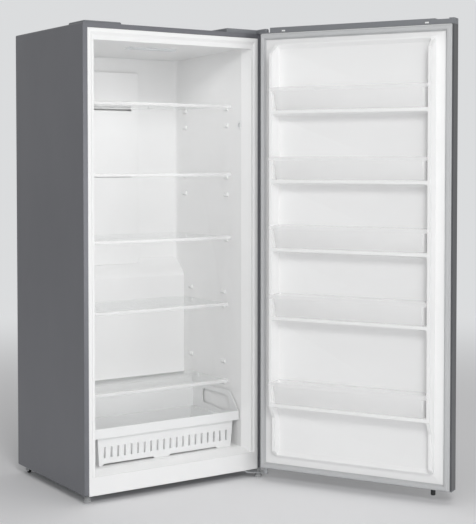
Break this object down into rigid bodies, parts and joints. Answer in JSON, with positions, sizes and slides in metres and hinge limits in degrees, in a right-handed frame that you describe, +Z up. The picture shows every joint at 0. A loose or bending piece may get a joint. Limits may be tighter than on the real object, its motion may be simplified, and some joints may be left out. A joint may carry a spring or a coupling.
{
  "type": "upright freezer",
  "caption": "Tall single-door upright freezer, door open to the right: white interior with glass shelves, a pull-out basket and door bins; grey steel case.",
  "frame": {"origin": "middle of the whole footprint, cabinet and open door, on the floor", "axes": "+Z up, +Y from the front of the cabinet to its back, +X to the right of someone who faces it"},
  "size_m": [1.222, 1.4158, 1.88],
  "materials": {
    "case_paint": "satin grey paint",
    "door_steel": "satin grey metallic paint",
    "bare_steel": "zinc-coated sheet",
    "liner_plastic": "white, semi-gloss",
    "foam": "rigid insulating foam",
    "white_plastic": "white, moulded",
    "clear_plastic": "milky translucent",
    "grey_plastic": "moulded",
    "black_plastic": "moulded",
    "cap_plastic": "grey, fine texture",
    "gasket_rubber": "light grey, matte",
    "rubber": "matte",
    "shelf_glass": "clear tempered",
    "aluminium": "plain",
    "copper": "plain tube",
    "black_paint": "semi-gloss"
  },
  "bodies": {
    "cabinet": {"outer_case": "case_paint", "back_panel": "bare_steel", "base_pan": "bare_steel", "liner": "liner_plastic", "cabinet_insulation": "foam", "duct_cover": "liner_plastic", "evaporator_cover": "liner_plastic", "light_cover": "clear_plastic", "temperature_sensor": "white_plastic", "door_switch_housing": "white_plastic", "evaporator": "aluminium", "defrost_heater": "aluminium", "evaporator_fan_motor": "black_plastic", "compressor_base": "bare_steel", "compressor": "black_paint", "condenser": "aluminium", "condenser_fan_motor": "black_plastic", "drain_pan": "black_plastic", "discharge_line": "copper", "rear_cover": "bare_steel", "cord_gland": "rubber", "top_hinge_bracket": "bare_steel", "top_hinge_cover": "cap_plastic", "hinge_hole_cover": "cap_plastic", "bottom_hinge_bracket": "bare_steel"},
    "door": {"door_skin": "door_steel", "door_liner": "liner_plastic", "door_insulation": "foam", "door_gasket": "gasket_rubber", "door_top_cap": "cap_plastic", "door_bottom_cap": "cap_plastic", "door_peg": "black_plastic", "top_hinge_bush": "white_plastic", "bottom_hinge_bush": "white_plastic", "cap_plug_left": "white_plastic", "cap_plug_right": "white_plastic"},
    "shelf_1": {"shelf_1_glass": "shelf_glass", "shelf_1_trim": "white_plastic"},
    "shelf_2": {"shelf_2_glass": "shelf_glass", "shelf_2_trim": "white_plastic"},
    "shelf_3": {"shelf_3_glass": "shelf_glass", "shelf_3_trim": "white_plastic"},
    "shelf_4": {"shelf_4_glass": "shelf_glass", "shelf_4_trim": "white_plastic"},
    "shelf_5": {"shelf_5_glass": "shelf_glass", "shelf_5_trim": "white_plastic"},
    "basket": {"basket": "white_plastic"},
    "bin_1": {"door_bin_1": "clear_plastic"},
    "bin_2": {"door_bin_2": "clear_plastic"},
    "bin_3": {"door_bin_3": "clear_plastic"},
    "bin_4": {"door_bin_4": "clear_plastic"},
    "bin_5": {"door_bin_5": "clear_plastic"},
    "switch_plunger": {"door_switch_plunger": "grey_plastic"},
    "left_foot": {"front_foot_left": "grey_plastic"},
    "right_foot": {"front_foot_right": "grey_plastic"},
    "left_roller": {"rear_roller_left": "black_plastic"},
    "right_roller": {"rear_roller_right": "black_plastic"},
    "cold_fan": {"evaporator_fan": "black_plastic"},
    "warm_fan": {"condenser_fan": "black_plastic"}
  },
  "joints": [
    {"name": "door_hinge", "type": "hinge", "parent": "cabinet", "child": "door", "pos_m": [0.21002, 0.03286, 0.9], "axis": [0, 0, 1], "range_deg": [-118.1, 12]},
    {"name": "basket_slide", "type": "slide", "parent": "cabinet", "child": "basket", "axis": [0, -1, 0], "range_m": [0, 0.25]},
    {"name": "shelf_1_slide", "type": "slide", "parent": "cabinet", "child": "shelf_1", "axis": [0, -1, 0], "range_m": [0, 0.2]},
    {"name": "shelf_2_slide", "type": "slide", "parent": "cabinet", "child": "shelf_2", "axis": [0, -1, 0], "range_m": [0, 0.2]},
    {"name": "shelf_3_slide", "type": "slide", "parent": "cabinet", "child": "shelf_3", "axis": [0, -1, 0], "range_m": [0, 0.2]},
    {"name": "shelf_4_slide", "type": "slide", "parent": "cabinet", "child": "shelf_4", "axis": [0, -1, 0], "range_m": [0, 0.2]},
    {"name": "shelf_5_slide", "type": "slide", "parent": "cabinet", "child": "shelf_5", "axis": [0, -1, 0], "range_m": [0, 0.2]},
    {"name": "bin_1_lift", "type": "slide", "parent": "door", "child": "bin_1", "axis": [0, 0, 1], "range_m": [0, 0.04]},
    {"name": "bin_2_lift", "type": "slide", "parent": "door", "child": "bin_2", "axis": [0, 0, 1], "range_m": [0, 0.04]},
    {"name": "bin_3_lift", "type": "slide", "parent": "door", "child": "bin_3", "axis": [0, 0, 1], "range_m": [0, 0.04]},
    {"name": "bin_4_lift", "type": "slide", "parent": "door", "child": "bin_4", "axis": [0, 0, 1], "range_m": [0, 0.04]},
    {"name": "bin_5_lift", "type": "slide", "parent": "door", "child": "bin_5", "axis": [0, 0, 1], "range_m": [0, 0.04]},
    {"name": "switch_press", "type": "slide", "parent": "cabinet", "child": "switch_plunger", "axis": [1, 0, 0], "range_m": [0, 0.005], "stiffness_N_per_m": 250, "springref_m": -0.002},
    {"name": "left_foot_turn", "type": "hinge", "parent": "cabinet", "child": "left_foot", "pos_m": [-0.58198, 0.11886, 0.012], "axis": [0, 0, 1], "continuous": true},
    {"name": "right_foot_turn", "type": "hinge", "parent": "cabinet", "child": "right_foot", "pos_m": [0.19952, 0.07386, 0.012], "axis": [0, 0, 1], "continuous": true},
    {"name": "left_roller_spin", "type": "hinge", "parent": "cabinet", "child": "left_roller", "pos_m": [-0.57548, 0.67786, 0.015], "axis": [1, 0, 0], "continuous": true},
    {"name": "right_roller_spin", "type": "hinge", "parent": "cabinet", "child": "right_roller", "pos_m": [0.18652, 0.67786, 0.015], "axis": [1, 0, 0], "continuous": true},
    {"name": "cold_fan_spin", "type": "hinge", "parent": "cabinet", "child": "cold_fan", "pos_m": [-0.19448, 0.61036, 0.745], "axis": [0, -1, 0], "continuous": true},
    {"name": "warm_fan_spin", "type": "hinge", "parent": "cabinet", "child": "warm_fan", "pos_m": [-0.40048, 0.63286, 0.13], "axis": [-1, 0, 0], "continuous": true}
  ]
}
